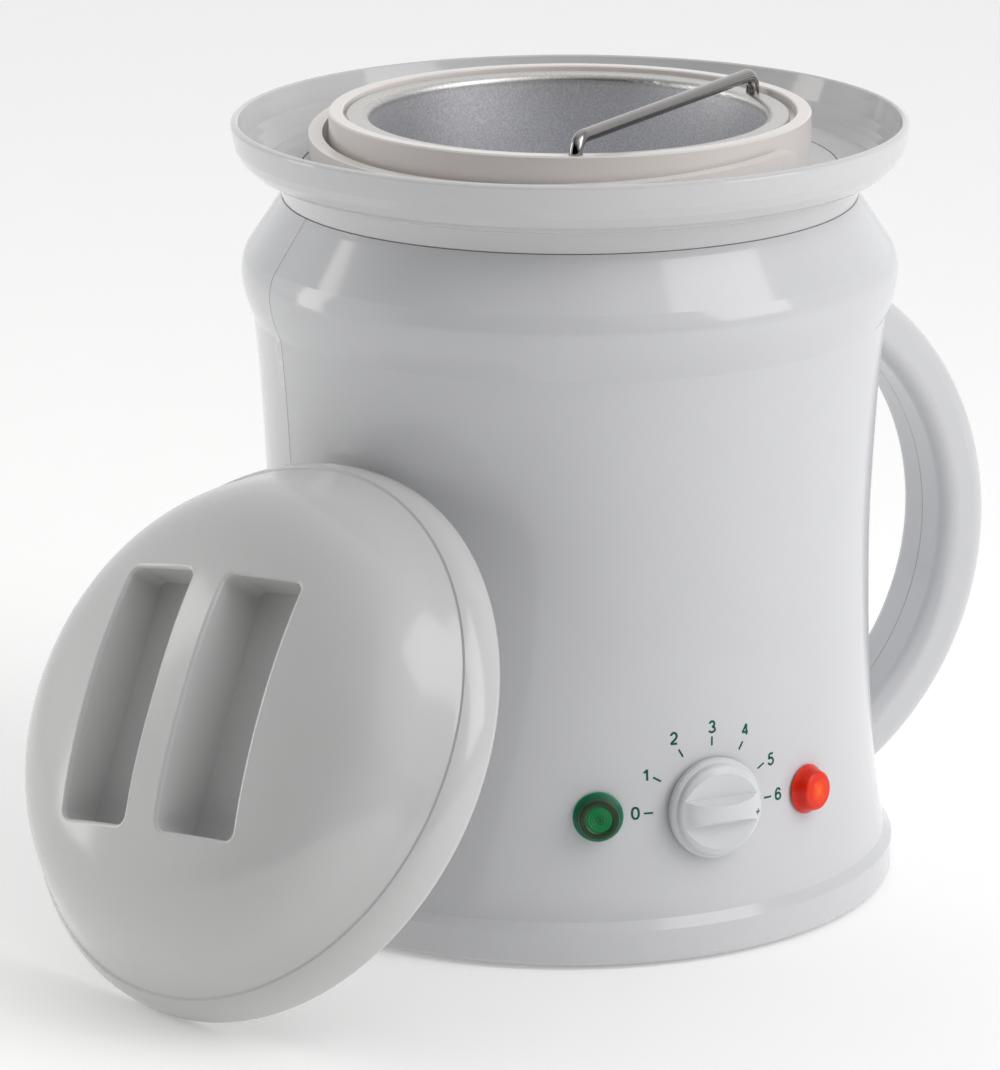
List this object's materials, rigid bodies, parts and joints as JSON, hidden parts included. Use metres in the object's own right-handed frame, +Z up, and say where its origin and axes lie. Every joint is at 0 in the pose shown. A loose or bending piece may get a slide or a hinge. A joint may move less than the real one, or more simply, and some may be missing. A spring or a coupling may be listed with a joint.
{
  "type": "wax warmer pot",
  "caption": "Electric hair-removal wax warmer: waisted plastic casing with a mug-style handle, dial and lamps, drip collar, lift-out metal pot with bail and scraper bar, and domed lid.",
  "frame": {"origin": "centre of the casing's base at the level of the table, on the underside of the middle rubber foot", "axes": "+Z up; the control panel faces -Y; the mug handle points along +X; the lid leans on the casing at the -X side"},
  "size_m": [0.3403, 0.2453, 0.2521],
  "materials": {
    "casing_plastic": "gloss",
    "collar_plastic": "gloss",
    "ring_plastic": "satin",
    "lid_plastic": "gloss",
    "deck_plastic": "satin",
    "knob_plastic": "satin",
    "pot_metal": "satin",
    "well_metal": "satin",
    "rod_chrome": "polished",
    "heater_metal": "satin",
    "steel": "satin",
    "fibre": "matte",
    "cover_plastic": "matte",
    "feet_rubber": "matte",
    "gland_plastic": "matte",
    "thermostat_case": "matte",
    "bulb_copper": "satin",
    "green_lens": "gloss",
    "red_lens": "gloss",
    "lamp_body": "matte",
    "block_plastic": "matte",
    "wire_sleeve": "satin"
  },
  "bodies": {
    "base": {"casing_front": "casing_plastic", "casing_rear": "casing_plastic", "heating_well": "well_metal", "band_heater": "heater_metal", "band_clamp_bolt": "steel", "insulation_sleeve": "fibre", "base_heater": "heater_metal", "thermal_cutout": "thermostat_case", "sensor_bulb": "bulb_copper", "bulb_clip": "steel", "deck": "deck_plastic", "flange_screws": "steel", "upper_pillars": "steel", "lower_pillars": "steel", "heat_shield": "well_metal", "base_cover": "cover_plastic", "rubber_feet": "feet_rubber", "base_screws": "steel", "cord_gland": "gland_plastic", "thermostat": "thermostat_case", "thermostat_screws": "steel", "lamp_lens_green": "green_lens", "lamp_lens_red": "red_lens", "lamp_nuts": "gland_plastic", "lamp_bodies": "lamp_body", "terminal_block": "block_plastic", "internal_wires": "wire_sleeve"},
    "collar_body": {"collar": "collar_plastic"},
    "ring_body": {"carrier_ring": "ring_plastic"},
    "bail_body": {"bail": "ring_plastic"},
    "pot_body": {"wax_pot": "pot_metal"},
    "bar_body": {"scraper_bar": "rod_chrome"},
    "knob_body": {"knob": "knob_plastic", "thermostat_shaft": "steel"},
    "lid_body": {"lid_shell": "lid_plastic"}
  },
  "joints": [
    {"name": "collar_lift", "type": "slide", "parent": "base", "child": "collar_body", "axis": [0, 0, 1], "range_m": [0, 0.055]},
    {"name": "ring_lift", "type": "slide", "parent": "base", "child": "ring_body", "axis": [0, 0, 1], "range_m": [0, 0.13]},
    {"name": "bail_swing", "type": "hinge", "parent": "ring_body", "child": "bail_body", "pos_m": [0, 0, 0.2369], "axis": [-0.4772, 0.8788, 0], "range_deg": [0, 186.6]},
    {"name": "pot_lift", "type": "slide", "parent": "ring_body", "child": "pot_body", "axis": [0, 0, 1], "range_m": [0, 0.2]},
    {"name": "bar_lift", "type": "slide", "parent": "pot_body", "child": "bar_body", "axis": [0, 0, 1], "range_m": [0, 0.04]},
    {"name": "knob_turn", "type": "hinge", "parent": "base", "child": "knob_body", "pos_m": [0, -0.0972, 0.0469], "axis": [0, -0.9973, 0.0732], "range_deg": [0, 189]},
    {"name": "lid_slide", "type": "slide", "parent": "base", "child": "lid_body", "axis": [-0.9438, -0.3305, 0], "range_m": [0, 0.12]}
  ]
}
